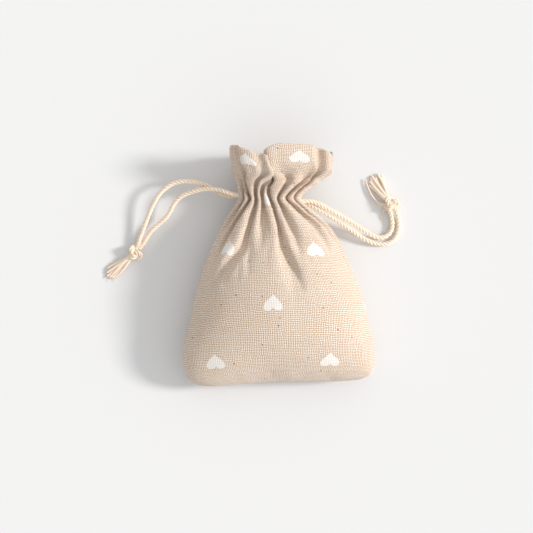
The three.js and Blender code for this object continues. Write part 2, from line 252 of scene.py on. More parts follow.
# %% Cord routes
ROUTES = {
    "left_outer_strand": [
        (-13.9, 26.7, 10.0), (-16.0, 26.6, 9.9), (-18.6, 26.5, 9.4), (-21.5, 27.3, 8.4),
        (-24.6, 29.1, 7.5), (-28.0, 30.8, 7.2), (-31.6, 31.8, 7.1), (-35.4, 32.1, 7.0),
        (-39.1, 31.5, 6.8), (-42.3, 29.8, 6.5), (-44.9, 27.3, 6.1), (-46.9, 24.2, 5.5),
        (-48.5, 20.9, 4.8), (-49.9, 17.4, 4.0), (-51.3, 13.8, 3.3), (-52.5, 10.6, 2.7), (-53.3, 7.9, 2.4),
        (-53.9, 6.2, 2.4)],
    "left_inner_strand": [
        (-13.9, 26.7, 12.0), (-16.0, 26.8, 11.9), (-18.8, 27.6, 11.5), (-21.9, 28.6, 10.6),
        (-25.2, 29.1, 9.6), (-28.6, 29.0, 8.6), (-32.0, 28.3, 7.6), (-35.2, 27.2, 6.7),
        (-37.8, 25.6, 5.9), (-39.6, 23.4, 5.2), (-40.9, 20.9, 4.6), (-42.5, 18.5, 4.0),
        (-44.8, 16.4, 3.5), (-47.3, 14.3, 3.0), (-49.4, 11.7, 2.6), (-51.0, 9.0, 2.3),
        (-52.9, 6.6, 2.3)],
    "right_inner_strand": [
        (6.7, 24.5, 12.0), (8.8, 24.5, 11.9), (11.8, 24.5, 11.3), (15.0, 23.6, 10.3),
        (18.5, 21.8, 9.2), (21.8, 20.0, 8.0), (25.2, 18.1, 6.7), (28.5, 16.2, 5.3),
        (31.5, 14.3, 4.1), (34.3, 12.5, 3.0), (37.0, 11.3, 2.2), (39.6, 11.1, 1.6),
        (41.8, 12.2, 1.2), (43.0, 14.3, 1.2), (43.2, 16.8, 1.4), (42.8, 19.2, 1.8), (42.4, 20.8, 2.0),
        (42.3, 22.6, 2.2)],
    "right_outer_strand": [
        (6.7, 24.5, 10.0), (8.8, 24.4, 9.9), (12.1, 23.2, 9.5), (15.4, 21.3, 8.8),
        (18.7, 19.4, 7.8), (21.9, 17.4, 6.6), (25.1, 15.3, 5.4), (28.3, 13.2, 4.2),
        (31.5, 11.1, 3.1), (34.9, 9.4, 2.1), (38.4, 8.6, 1.4), (41.8, 8.9, 1.1),
        (44.3, 10.7, 1.0), (45.5, 13.5, 1.0), (45.7, 16.4, 1.2), (45.3, 19.0, 1.6), (44.7, 21.0, 1.9),
        (43.7, 22.9, 2.1)],
}
KNOTS = {"left": (-54.5, 4.9, 2.3), "right": (42.7, 23.9, 2.3)}
TASSEL_TIPS = {"left": (-64.3, -3.4, 0.9), "right": (37.4, 35.0, 0.9)}

STRAND_STEP = 0.28 * MM

def in_metres(points):
    return [Vector(p) * MM for p in points]

lines = {name: smooth_line(in_metres(points), STRAND_STEP) for name, points in ROUTES.items()}
for name, line in lines.items():
    print(name, "mm:", round(line_length(line) / MM, 1))

# %% [markdown]
# A three-ply cord is three tubes that turn round one line. The plies all but touch each other, so each lies
# a little over half its thickness from the middle, and together they measure 1.6 to 1.7 mm across. One full
# turn takes 4.5 mm, which is the lay of a soft craft cord of this size.

# %% Twisted strands
PLIES = 3
PLY = 0.42 * MM  # a ply's radius
PLY_OFFSET = 0.5 * MM
LAY = 4.5 * MM

def twisted_cord(shape, line, start=0.0, sides=10):
    """Plies that turn round a line. Their thickness wavers by a twentieth, as a spun yarn's does."""
    frames = line_frames(line)
    radii = [PLY * (1 + 0.05 * math.sin(i * 0.31 + start)) for i in range(len(line))]
    for k in range(PLIES):
        ply = []
        for point, (run, side, up) in zip(line, frames):
            angle = start + 2 * math.pi * (k / PLIES + run / LAY)
            ply.append(point + PLY_OFFSET * (math.cos(angle) * side + math.sin(angle) * up))
        sweep(shape, ply, radii, sides, core=line)

strands = {}
for name, line in lines.items():
    shape = bmesh.new()
    twisted_cord(shape, line, start=len(strands) * 0.9)
    strands[name] = (new_piece(name + "_cord", outwards(shape), [twisted_cotton]), line)
    print(name, len(strands[name][0].data.polygons), "faces")

# %% [markdown]
# ## Stop knots
# Both strands of a side are tied together in one overhand knot, which keeps them from slipping back
# through the casing. The middle of an overhand knot is a trefoil, so the same twisted cord is swept along
# one, and again along a smaller one inside it, which fills the middle as a drawn-up knot is filled.

# %% Overhand stop knots
TREFOIL = (0.84 * MM, 0.74 * MM, 1.15 * MM)  # the curve's scale: across the cord, along it, upwards
TREFOIL_POINTS = 64
KNOT_COPIES = [(1.0, 0.1 * MM), (0.6, 0.4 * MM)]  # size and lift of each copy

def overhand(centre, across, grow):
    """A closed trefoil with its long side across the cord."""
    turned = Matrix.Rotation(math.atan2(across[1], across[0]), 3, "Z")
    points = []
    for i in range(TREFOIL_POINTS + 1):
        t = 2 * math.pi * i / TREFOIL_POINTS
        curl = (math.sin(t) + 2 * math.sin(2 * t), math.cos(t) - 2 * math.cos(2 * t), -math.sin(3 * t))
        points.append(centre + turned @ Vector([c * size * grow for c, size in zip(curl, TREFOIL)]))
    return points

def stop_knot(side):
    centre, tip = in_metres([KNOTS[side], TASSEL_TIPS[side]])
    out = (tip - centre).normalized()
    shape = bmesh.new()
    for k, (grow, lift) in enumerate(KNOT_COPIES):
        twisted_cord(shape, overhand(centre + Vector((0, 0, lift)), (-out.y, out.x), grow), start=k, sides=6)
    return new_piece(side + "_stop_knot", outwards(shape), [twisted_cotton])

knots = {side: stop_knot(side) for side in KNOTS}
print("stop knots:", [len(knot.data.polygons) for knot in knots.values()], "faces")

# %% [markdown]
# ## Frayed tassels
# Past the knot the cords' plies have come untwisted and have partly split, seven or eight to a side. They
# fan out, wander a little and lie on the table, with a few loose yarns beside them, and finer fibres stand
# off them. Each is a tapered tube whose line starts inside the knot and ends near the tassel's tip. A seeded
# random spread keeps them the same on every run.

# %% Frayed ends
PLY_LOOSE, YARN, FIBRE = 0.62, 0.3, 0.09  # radii in millimetres
FIBRES_ON_PLY = 4

def yarn(shape, points, thick, sides):
    """A tube along points in millimetres. It loses 30% of its thickness towards its end."""
    line = smooth_line(in_metres(points), 0.4 * MM)
    size = len(line) - 1
    sweep(shape, line, [thick * MM * (1 - 0.3 * (i / size) ** 3) for i in range(size + 1)], sides)
    return line

def stray_fibres(shape, line, out, across, rng):
    """Fine fibres that stand off the outer half of a ply."""
    for _ in range(FIBRES_ON_PLY):
        root = line[rng.randrange(len(line) // 2, len(line))]
        heading = (out * rng.uniform(0.5, 1.0) + across * rng.uniform(-0.8, 0.8)).normalized()
        stray = [root + heading * rng.uniform(0.4, 0.7) * MM * j for j in range(4)]
        for point in stray:
            point.z = max(point.z, 0.12 * MM)
        fine = smooth_line(stray, 0.8 * MM)
        sweep(shape, fine, [FIBRE * MM] * len(fine), 3)

def tassel(side, fan, loose, seed):
    """fan has the sideways reach and the length of each ply; loose has the routes of loose yarns."""
    rng = random.Random(seed)
    centre = Vector(KNOTS[side])
    out = Vector(TASSEL_TIPS[side]) - centre
    out.z = 0
    reach = out.length
    out.normalize()
    across = Vector((-out.y, out.x, 0))
    shape = bmesh.new()
    for k, (sway, length) in enumerate(fan):
        bow = rng.uniform(-0.45, 0.45)
        points = []
        for i in range(7):
            t = i / 6
            wave = bow * math.sin(math.pi * t) + 0.22 * math.sin(5 * t + k)
            point = centre + out * reach * length * t + across * (sway * t ** 1.1 + wave)
            point.z = max(0.5, centre.z * (1 - t) ** 1.4 + 0.55 + 0.7 * (k % 2) * math.sin(math.pi * t))
            points.append(point)
        stray_fibres(shape, yarn(shape, points, PLY_LOOSE, 7), out, across, rng)
    for points in loose:
        yarn(shape, points, YARN, 6)
    return new_piece(side + "_frayed_tassel", outwards(shape), [frayed_cotton])

tassels = {
    "left": tassel(
        "left",
        [(-2.2, 0.9), (-1.3, 1.0), (-0.4, 1.06), (0.5, 1.02), (1.4, 0.98), (2.2, 0.88), (0.1, 0.9)],
        [[(-54.5, 4.9, 3.4), (-57.5, 1.6, 2.4), (-60.6, -1.6, 1.4), (-62.6, -4.6, 0.6)]], 3),
    "right": tassel(
        "right",
        [(-1.2, 0.9), (-0.2, 1.0), (0.8, 0.93), (1.7, 1.02), (2.7, 0.98), (3.7, 0.9), (1.2, 0.8), (4.6, 0.8)],
        [[(41.6, 23.2, 2.6), (37.9, 24.2, 1.6), (35.2, 27.4, 1.2), (33.6, 31.2, 1.0), (33.0, 33.2, 0.8)],
         [(41.4, 22.8, 2.2), (38.8, 23.2, 1.2), (36.6, 25.4, 0.8), (35.0, 28.8, 0.6)],
         [(42.0, 23.0, 1.6), (40.2, 21.6, 0.8), (39.4, 19.6, 0.4), (39.2, 17.8, 0.35)]], 5),
}
print("tassels:", [len(piece.data.polygons) for piece in tassels.values()], "faces")

# %% [markdown]
# Each strand is a free, limp cord that comes out of the casing at its exit and ends in a knot. When the
# knot is drawn in, the slack is taken up along the whole arc. Each strand is given its tail, its stop and
# two places from GIVE, but is attached to neither: its place is baked into its mesh, and its imported
# solid is hidden. Each knot and tassel moves with its stop.

TAILS = {"left": ("left_tail", "left_stop"), "right": ("right_tail", "right_stop")}
GIVE = {"left": ((-0.020, 0.0285, 0.009), (-0.050, 0.0115, 0.003)),
        "right": ((0.012, 0.023, 0.010), (0.039, 0.0113, 0.001))}
for name, (piece, line) in strands.items():
    side = name.split("_")[0]
    tail, stop = TAILS[side]
    belongs(piece, tail, "cord", name, between=(stop, *GIVE[side]))
for side in TAILS:
    belongs(knots[side], TAILS[side][1], "cord", side + "_knot")
    belongs(tassels[side], TAILS[side][1], "cord", side + "_tassel")

# %% [markdown]
# ## The cloth as it was cut
# The strip is 82 mm wide between its side seams, and each half is 108 mm from the bottom fold to the top of
# the frill. A point of the cloth is named by how far it is from the left seam and how far above the bottom
# fold, in millimetres of flat cloth. The curves below say where each height lies on the filled pouch: how
# far towards the mouth, the two side edges, the side seams' height, and the front's and back's height.

# %% The cloth's sizes and the pouch's outline
WIDE = 82.0
TALL = 108.0
CORD_LINE = 81.0
HEM = 34.0
ALLOWANCE = 8.0

def curve(*points):
    """A smooth curve through (height, value) points that doesn't swing past them."""
    xs, ys = np.array(points, float).T
    steps = np.diff(xs)
    rises = np.diff(ys) / steps
    slopes = np.concatenate([[rises[0]], np.zeros(len(xs) - 2), [rises[-1]]])
    same = rises[:-1] * rises[1:] > 0
    slopes[1:-1][same] = 2 * rises[:-1][same] * rises[1:][same] / (rises[:-1][same] + rises[1:][same])
    def at(x):
        i = int(np.clip(np.searchsorted(xs, x, side="right") - 1, 0, len(xs) - 2))
        t = (x - xs[i]) / steps[i]
        return float(ys[i] * (1 + 2 * t) * (1 - t) ** 2 + ys[i + 1] * t * t * (3 - 2 * t)
                     + steps[i] * (slopes[i] * t * (1 - t) ** 2 - slopes[i + 1] * t * t * (1 - t)))
    return at

along_y = curve((0, -45.2), (5, -43.8), (11, -39.6), (18, -33.2), (25, -26.5), (37.3, -13.4), (59, 6.2),
                (77, 22.4), (81, 25.4), (85, 28.2), (95, 35), (108, 44.6))
left_edge = curve((0, -29.5), (4, -33), (11, -35.8), (19, -36.4), (32, -33.6), (50, -28.8), (66, -22.3),
                  (77, -17), (81, -15.4), (86, -15.4), (97, -17.6), (108, -18.4))
right_edge = curve((0, 29.8), (4, 33.6), (10, 36.6), (16, 36.8), (32, 33.8), (50, 28.4), (66, 20.5),
                   (77, 11.2), (81, 8.4), (86, 11.4), (97, 20.6), (108, 20.4))
seam_z = curve((0, 7), (20, 11), (60, 12), (81, 10.5), (97, 13), (108, 15))
front_z = curve((0, 8.5), (5, 13), (11, 17.5), (18, 20.5), (25, 22.8), (37, 25.6), (56, 25.4),
                (68, 22.5), (77, 18.2), (81, 17.2), (85, 18), (92, 21.8), (100, 25), (108, 26.5))
back_z = curve((0, 5.5), (8, 1.2), (16, 0.7), (60, 0.7), (72, 1.2), (81, 4.4), (93, 1.2), (100, 1.6),
               (108, 4.0))
print("neck, mm wide:", round(right_edge(CORD_LINE) - left_edge(CORD_LINE), 1))

# %% [markdown]
# ## The gathers
# At the neck 82 mm of cloth has to fit on an outline less than half as long, so it folds inwards. Cloth
# can't stretch, so a fold is made by turning its direction: along the cloth the direction swings inwards
# and back again, like a wave, and the further it swings the narrower and deeper the fold. Each fold is
# given by its middle at six heights, from low on the body to the top edge, by its cloth low down, at the
# neck and at the top edge, by how much of its swing is left at the top edge, and by how far down it reaches.
# One number for each height then scales every swing so that the cloth fits the outline there. The front's
# folds are all different. The back's are plainer: each keeps its middle and its cloth at every height.

# %% Gathers
FOLD_HEIGHTS = (42, 50, 60, 81, 92, 108)
FRONT_FOLDS = [((5, 5, 4, 7.5, 6, 5), (8, 8, 8), 0, 18),
               ((8, 9, 10.5, 16.5, 12, 9.5), (9, 9, 8), 0.5, 30),
               ((12, 16, 24.5, 25.5, 23, 21), (13, 9, 7), 0.4, 44),
               ((33, 33, 34, 34.5, 31, 30), (9, 9, 8), 0, 16),
               ((49, 47.5, 45, 44, 38.5, 36.5), (14, 9, 26), 1.2, 46),
               ((53, 53, 53, 53.5, 53, 52), (8, 9, 8), 0, 20),
               ((70, 70, 69, 63.5, 64, 65), (8, 9.5, 8), 0, 22),
               ((78, 78, 77, 74, 72, 71.5), (8, 9.5, 10), 0.65, 28)]
BACK_FOLDS = [((middle,) * 6, (cloth,) * 3, left_at_top, reach) for middle, cloth, left_at_top, reach
              in ((8, 12, 0.6, 18), (20.5, 13, 0.9, 30), (35.5, 15, 0.7, 20), (47.5, 11, 0.95, 26),
                  (60.5, 14, 0.75, 16), (73.5, 12, 0.6, 24))]
GATHERED = 4.0  # the folds are deepest this far above and below the cord line
FADE_ABOVE = 16  # and take this much more to open out into the frill
STEEPEST = 2.0  # a fold's full swing in radians, before it is scaled
MOST_SCALE, MOST_SWING = 1.15, 2.45  # past these the folds would overlap
across_cloth = np.linspace(0, WIDE, 329)
sections = {}

def outline(front, height):
    """The pouch's smooth outline across one height, and the length along it. squareness below 1 fills
    out its shoulders, and lean moves its crown sideways."""
    left, right, seam = left_edge(height), right_edge(height), seam_z(height)
    crown = front_z(height) if front else back_z(height)
    turn = np.linspace(0, math.pi, 97)
    squareness, lean = 0.6, 1.0
    if front:
        squareness = np.interp(height, (70, 80, 88, 100), (1.0, 0.85, 0.8, 0.7))
        lean = np.interp(height, (10, 30, 70, 80, 88, 100), (1, 1.05, 1.05, 1, 0.95, 0.7))
    rise = np.maximum(0, np.sin(math.pi * (turn / math.pi) ** lean)) ** squareness
    points = np.stack([(left + right) / 2 - (right - left) / 2 * np.cos(turn),
                       seam + (crown - seam) * rise], 1)
    run = np.concatenate([[0], np.cumsum(np.linalg.norm(np.diff(points, axis=0), axis=1))])
    return points, run

def swing(front, height):
    """How far the cloth's direction swings inwards, in radians, for each place across the cloth."""
    total = np.zeros_like(across_cloth)
    for middles, (low, neck, top), left_at_top, reach in FRONT_FOLDS if front else BACK_FOLDS:
        middle = np.interp(height, FOLD_HEIGHTS, middles)
        away = max(0.0, CORD_LINE - GATHERED - height) / reach
        up = min(1.0, max(0.0, height - CORD_LINE - GATHERED) / FADE_ABOVE)
        up = up * up * (3 - 2 * up)
        cloth = neck + (top - neck) * up + (low - neck) * min(1.0, away)
        steep = STEEPEST * max(0.0, 1 - away) * (1 + (left_at_top - 1) * up)
        turn = np.clip((across_cloth - middle) / cloth + 0.5, 0, 1)
        total += steep * np.sin(2 * math.pi * turn)
    return total

def section(front, height):
    """For each place across the cloth at one height: how far along the outline it is, and how deep."""
    key = (front, round(height, 3))
    if key not in sections:
        points, run = outline(front, height)
        full = swing(front, height)
        step = across_cloth[1]
        low, high = 0.0, min(MOST_SCALE, MOST_SWING / (np.abs(full).max() + 1e-6))
        for _ in range(20):
            half = (low + high) / 2
            low, high = (low, half) if np.cos(half * full).sum() * step < run[-1] else (half, high)
        along, depth = (np.concatenate([[0], np.cumsum((rate[1:] + rate[:-1]) / 2 * step)])
                        for rate in (np.cos(low * full), np.sin(low * full)))
        sections[key] = (points, run, along / along[-1] * run[-1], depth, low)
    return sections[key]

for height in (30, 45, 60, 70, 81, 90, 100, 108):
    for front in (True, False):
        points, run, along, depth, scale = section(front, height)
        print(height, "front" if front else "back", "outline", round(run[-1], 1),
              "deepest", round(depth.max(), 1), "scale", round(scale, 2))

# %% [markdown]
# The mouth and the bottom are not straight lines. At the top edge the front's two lobes stand forward and
# the valley between them lies back, and at the bottom the right corner sits a little higher. A light
# filling also leaves a few shallow hollows in the front, given by place, radius and depth.

# %% Place the cloth
top_edge_y = curve((0, -1.8), (2.5, -0.4), (7, 0.6), (16, -1.2), (22, -3), (35, -4), (47, -1.5), (54, 0.8),
                   (66, 0.4), (76, -1.6), (80, -3.4), (82, -5.4))
bottom_y = curve((0, 0.3), (8, -0.4), (25, 0.6), (50, 1.2), (72, 1.6), (82, 2.4))
HOLLOWS = [(12, 45, 8, 1.8), (7, 28, 8, 1.2), (27, 33, 9, 0.9), (36, 12, 10, 1.0), (60, 42, 8, 0.8),
           (70, 24, 8, 0.9)]
SHAPED_TOP = 88  # above this height the top edge's curve sets in
SHAPED_BOTTOM = 40  # and below this one the bottom's
BACK_TOP_Y = -1.5

def gathered_place(front, across, height):
    """Where a point of the cloth lies on the filled and gathered pouch, in millimetres."""
    points, run, along, depths = section(front, height)[:4]
    here = np.interp(across, across_cloth, along)
    depth = np.interp(across, across_cloth, depths)
    if front:
        depth += sum(deep * math.exp(-((across - s) ** 2 + (height - h) ** 2) / wide ** 2)
                     for s, h, wide, deep in HOLLOWS)
    ends = (max(0.0, here - 0.4), min(run[-1], here + 0.4))
    x, z = (np.interp(here, run, points[:, k]) for k in (0, 1))
    dx, dz = (np.interp(ends[1], run, points[:, k]) - np.interp(ends[0], run, points[:, k]) for k in (0, 1))
    inwards = np.array([dz, -dx]) / (math.hypot(dx, dz) + 1e-9) * (1 if front else -1)
    up = min(1.0, max(0.0, (height - SHAPED_TOP) / (TALL - SHAPED_TOP)))
    low = max(0.0, 1 - height / SHAPED_BOTTOM)
    y = along_y(height) + up * (top_edge_y(across) if front else BACK_TOP_Y) + low * bottom_y(across)
    return Vector((x + inwards[0] * depth, y, z + inwards[1] * depth))

for across in (0, WIDE / 2, WIDE):
    print("top edge at", across, "mm:", [round(c, 1) for c in gathered_place(True, across, TALL)])

# %% [markdown]
# The strip starts as one flat grid. Its rows are closer together near the neck, where the folds are small.
# Each corner keeps its place in the flat cloth as an attribute, moves to its place on the pouch, and the
# side edges of the front and the back are welded, as a seam joins them.

# %% The strip of cloth
COLUMNS = 70
BODY_ROWS = 30
NECK_ROWS = 32
ROWS = BODY_ROWS + NECK_ROWS
NECK_FROM = 66
SIM_SCALE = 10

def row_height(row):
    row = abs(row)
    if row < BODY_ROWS:
        return NECK_FROM * row / BODY_ROWS
    return NECK_FROM + (TALL - NECK_FROM) * (row - BODY_ROWS) / NECK_ROWS

shape = bmesh.new()
bmesh.ops.create_grid(shape, x_segments=COLUMNS, y_segments=2 * ROWS, size=0.5)
flat = shape.verts.layers.float_vector.new("flat")
on_front = shape.faces.layers.int.new("on_front")
for face in shape.faces:
    face[on_front] = int(face.calc_center_median().y > 0)
seams = {}
for vertex in shape.verts:
    across = (vertex.co.x + 0.5) * WIDE
    row = round(vertex.co.y * 2 * ROWS)
    side = -1 if row < 0 else 1
    vertex[flat] = (across, side * row_height(row), 0)
    vertex.co = gathered_place(side > 0, across, row_height(row)) * MM * SIM_SCALE
    if row and min(across, WIDE - across) < 0.01:
        seams.setdefault((round(across), abs(row)), []).append((side, vertex))
weld = {}
for pair in seams.values():
    (_, back), (_, front) = sorted(pair, key=lambda item: item[0])
    front.co = (front.co + back.co) / 2
    weld[back] = front
bmesh.ops.weld_verts(shape, targetmap=weld)
bmesh.ops.recalc_face_normals(shape, faces=shape.faces)
cloth = new_piece("sack_cloth", shape, [])
print("cloth corners:", len(cloth.data.vertices), "faces:", len(cloth.data.polygons))

# %% [markdown]
# ## Let the cloth settle
# The formula gives folds that are too tidy. Blender's cloth simulation makes them real: the cloth keeps the
# lengths that it was cut to, the filling presses it outwards, and it wrinkles where it has to. It is told
# the cut lengths by a rest shape, a plain tube of the cloth's width. The neck is held where the drawstrings
# hold it. The seams, the bottom fold and the top edge are only pulled gently to their places. The pouch is
# simulated ten times its size, because the solver's lengths suit larger things, and then shrunk again.

# %% Cloth simulation
FRAMES = 24
NECK_BAND = 3.2  # the drawstrings hold this much cloth above and below the cord line
SEAM_TOP = 78
CONTACT = 0.004  # the closest that the cloth comes to the table, at ten times its size

def flat_places(piece):
    numbers = np.zeros(len(piece.data.vertices) * 3)
    piece.data.attributes["flat"].data.foreach_get("vector", numbers)
    return numbers.reshape(-1, 3)[:, :2]

def weight_group(piece, name, weights):
    group = piece.vertex_groups.new(name=name)
    for index, weight in enumerate(weights):
        if weight > 0:
            group.add([index], float(weight), "REPLACE")

def settle(piece, frames):
    """Runs the cloth simulation, and keeps its last frame as the piece's shape."""
    places = flat_places(piece)
    across, height = places[:, 0], np.abs(places[:, 1])
    piece.shape_key_add(name="Basis")
    rest = piece.shape_key_add(name="cut")
    for point, (s, h) in zip(rest.data, places):
        turn = math.pi * s / WIDE
        point.co = Vector((-math.cos(turn), abs(h) * math.pi / WIDE, (1 if h >= 0 else -1) * math.sin(turn)))
        point.co *= WIDE / math.pi * MM * SIM_SCALE
    at_seam = (np.minimum(across, WIDE - across) < 0.6) & (height < SEAM_TOP)
    held = np.zeros(len(places))
    for where, how_firmly in ((np.abs(height - CORD_LINE) < NECK_BAND, 1.0),
                              (height > 100, 0.5 * np.clip((height - 100) / 8, 0, 1)),
                              (at_seam, 0.45), (height < 0.6, 0.3)):
        held = np.maximum(held, np.where(where, how_firmly, 0))
    weight_group(piece, "held", held)
    weight_group(piece, "filled", np.where(height < CORD_LINE, 1.0, 0.0))
    table = bmesh.new()
    bmesh.ops.create_grid(table, x_segments=1, y_segments=1, size=2)
    table = new_piece("table_for_cloth", table, [])
    table.modifiers.new("Collision", "COLLISION")
    table.collision.thickness_outer = CONTACT
    table.collision.cloth_friction = 20
    cloth_modifier = piece.modifiers.new("Cloth", "CLOTH")
    set_values(cloth_modifier.settings, quality=8, mass=0.01, air_damping=1,
               tension_stiffness=40, compression_stiffness=40, shear_stiffness=15, bending_stiffness=0.5,
               tension_damping=10, compression_damping=10, shear_damping=10, bending_damping=1,
               vertex_group_mass="held", pin_stiffness=10, rest_shape_key=rest,
               use_pressure=True, uniform_pressure_force=40, vertex_group_pressure="filled")
    cloth_modifier.settings.effector_weights.gravity = 0.02
    set_values(cloth_modifier.collision_settings, use_collision=True, distance_min=CONTACT,
               use_self_collision=False)
    cloth_modifier.point_cache.frame_end = frames
    scene = bpy.context.scene
    scene.frame_start, scene.frame_end = 1, frames
    for number in range(1, frames + 1):
        scene.frame_set(number)
    graph = bpy.context.evaluated_depsgraph_get()
    settled = np.array([v.co for v in piece.evaluated_get(graph).data.vertices])
    piece.modifiers.clear()
    piece.vertex_groups.clear()
    piece.shape_key_clear()
    piece.data.vertices.foreach_set("co", settled.ravel())
    bpy.data.objects.remove(table)
    scene.frame_set(1)

settle(cloth, FRAMES)
cloth.data.transform(Matrix.Scale(1 / SIM_SCALE, 4))
cloth.data.update()
corners = np.array([v.co for v in cloth.data.vertices]) / MM
print("settled cloth, mm:", corners.min(0).round(1), corners.max(0).round(1))

# %% [markdown]
# ## Find places on the settled cloth
# Stitches and seam allowances follow the cloth, so a helper gives the point and the outward direction at
# any place of the flat cloth. It reads them from the grid of corners.

# %% Places on the cloth
row_heights = np.array([row_height(row) for row in range(ROWS + 1)])
spots = np.zeros((2, ROWS + 1, COLUMNS + 1, 3))
facings = np.zeros_like(spots)
for vertex, (s, h) in zip(cloth.data.vertices, flat_places(cloth)):
    column = round(s / WIDE * COLUMNS)
    row = int(np.abs(row_heights - abs(h)).argmin())
    shared = row == 0 or column in (0, COLUMNS)
    for side in (0, 1) if shared else (int(h > 0),):
        spots[side, row, column] = vertex.co
        facings[side, row, column] = vertex.normal
centre = spots.mean((0, 1, 2))
outward = np.sign(((spots - centre) * facings).sum())

def on_cloth(front, across, height):
    """The point and the outward direction at a place of the flat cloth."""
    column = min(COLUMNS - 1e-6, max(0.0, across / WIDE * COLUMNS))
    row = min(ROWS - 1e-6, float(np.interp(height, row_heights, np.arange(ROWS + 1))))
    i, j = int(row), int(column)
    a, b = row - i, column - j
    found = []
    for table in (spots, facings):
        near = table[int(front)]
        found.append(Vector((1 - a) * ((1 - b) * near[i, j] + b * near[i, j + 1])
                            + a * ((1 - b) * near[i + 1, j] + b * near[i + 1, j + 1])))
    return found[0], found[1].normalized() * outward

print("front of the neck, mm:", [round(c / MM, 1) for c in on_cloth(True, 39, CORD_LINE)[0]])

# %% [markdown]
# ## Seams and the turned-in hem
# The side seams pull in a little, which shows as a line down each side, so those corners move inwards and
# their edges are creased. Each end of the strip is turned in and reaches below the casing's lower row of
# stitches. It is a copy of the cloth above that row, moved inwards by two thicknesses, and joined to
# the outside along the top edge, so that the frill ends in a soft fold. The flat place of each corner
# becomes the UV map, in millimetres: U across the cloth, V along the strip from end to end.

# %% Hem, seams and the UV map
CLOTH_THICK = 0.5 * MM
SEAM_PULL = 0.45 * MM
SEAM_CREASE = 0.7

def off_seam(vertex):
    """How far a corner is from the nearer side seam, in millimetres of flat cloth."""
    return min(vertex[flat][0], WIDE - vertex[flat][0])

shape = bmesh.new()
shape.from_mesh(cloth.data)
bmesh.ops.recalc_face_normals(shape, faces=shape.faces)
flat = shape.verts.layers.float_vector["flat"]
on_front = shape.faces.layers.int["on_front"]
uv = shape.loops.layers.uv.new("UVMap")
crease = shape.edges.layers.float.new("crease_edge")
shape.normal_update()
if sum(face.normal.z * face.calc_area() * (1 if face[on_front] else -1) for face in shape.faces) < 0:
    bmesh.ops.reverse_faces(shape, faces=shape.faces)
shape.normal_update()
for vertex in shape.verts:
    if off_seam(vertex) < 0.01 and 4 < abs(vertex[flat][1]) < SEAM_TOP:
        vertex.co -= vertex.normal * SEAM_PULL
for edge in shape.edges:
    if all(off_seam(v) < 0.01 and abs(v[flat][1]) < SEAM_TOP - 2 for v in edge.verts):
        edge[crease] = SEAM_CREASE
for face in shape.faces:
    for loop in face.loops:
        s, h = loop.vert[flat][0], abs(loop.vert[flat][1])
        loop[uv].uv = (s, h if face[on_front] else -h)
turned = [f for f in shape.faces if all(abs(v[flat][1]) > TALL - HEM for v in f.verts)]
top_edges = [e for e in shape.edges if e.is_boundary]
shape.normal_update()
copy = bmesh.ops.duplicate(shape, geom=turned + list({e for f in turned for e in f.edges})
                           + list({v for f in turned for v in f.verts}))
hem_verts = [g for g in copy["geom"] if isinstance(g, bmesh.types.BMVert)]
hem_faces = [g for g in copy["geom"] if isinstance(g, bmesh.types.BMFace)]
inwards = {v: -v.normal.copy() for v in hem_verts}
for vertex in hem_verts:
    vertex.co += inwards[vertex] * 2 * CLOTH_THICK
for face in hem_faces:
    for loop in face.loops:
        s, v = loop[uv].uv
        loop[uv].uv = (s, (2 * TALL - abs(v)) * (1 if v > 0 else -1))
bmesh.ops.reverse_faces(shape, faces=hem_faces)
hem_top = [e for e in {e for v in hem_verts for e in v.link_edges} if e.is_boundary
           and all(abs(v[flat][1]) > TALL - 0.01 for v in e.verts)]
fold = bmesh.ops.bridge_loops(shape, edges=top_edges + hem_top)["faces"]
for face in fold:
    for loop in face.loops:
        loop[uv].uv = loop.vert[flat].xy
shape.to_mesh(cloth.data)
shape.free()
for polygon in cloth.data.polygons:
    polygon.use_smooth = True
set_values(cloth.modifiers.new("Smooth", "SUBSURF"), levels=1, render_levels=1)
set_values(cloth.modifiers.new("Thickness", "SOLIDIFY"), thickness=CLOTH_THICK, offset=-1,
           material_offset=1, use_even_offset=False)
print("hem faces:", len(hem_faces), "fold faces:", len(fold))

# %% [markdown]
# ## The cloth's finish
# The cloth is an undyed linen and cotton plain weave: pale cotton with thicker, darker linen threads in
# places, small brown specks of husk, and soft white hearts printed on the right side. The weave is worked
# out from the UV map, which is in millimetres of flat cloth. Threads lie 0.68 mm apart. A cosine has its
# peak over the middle of each thread, the product of the two directions says which thread is on top, and
# the higher of the two is the surface.

# %% The weave
THREAD_PITCH = 0.68

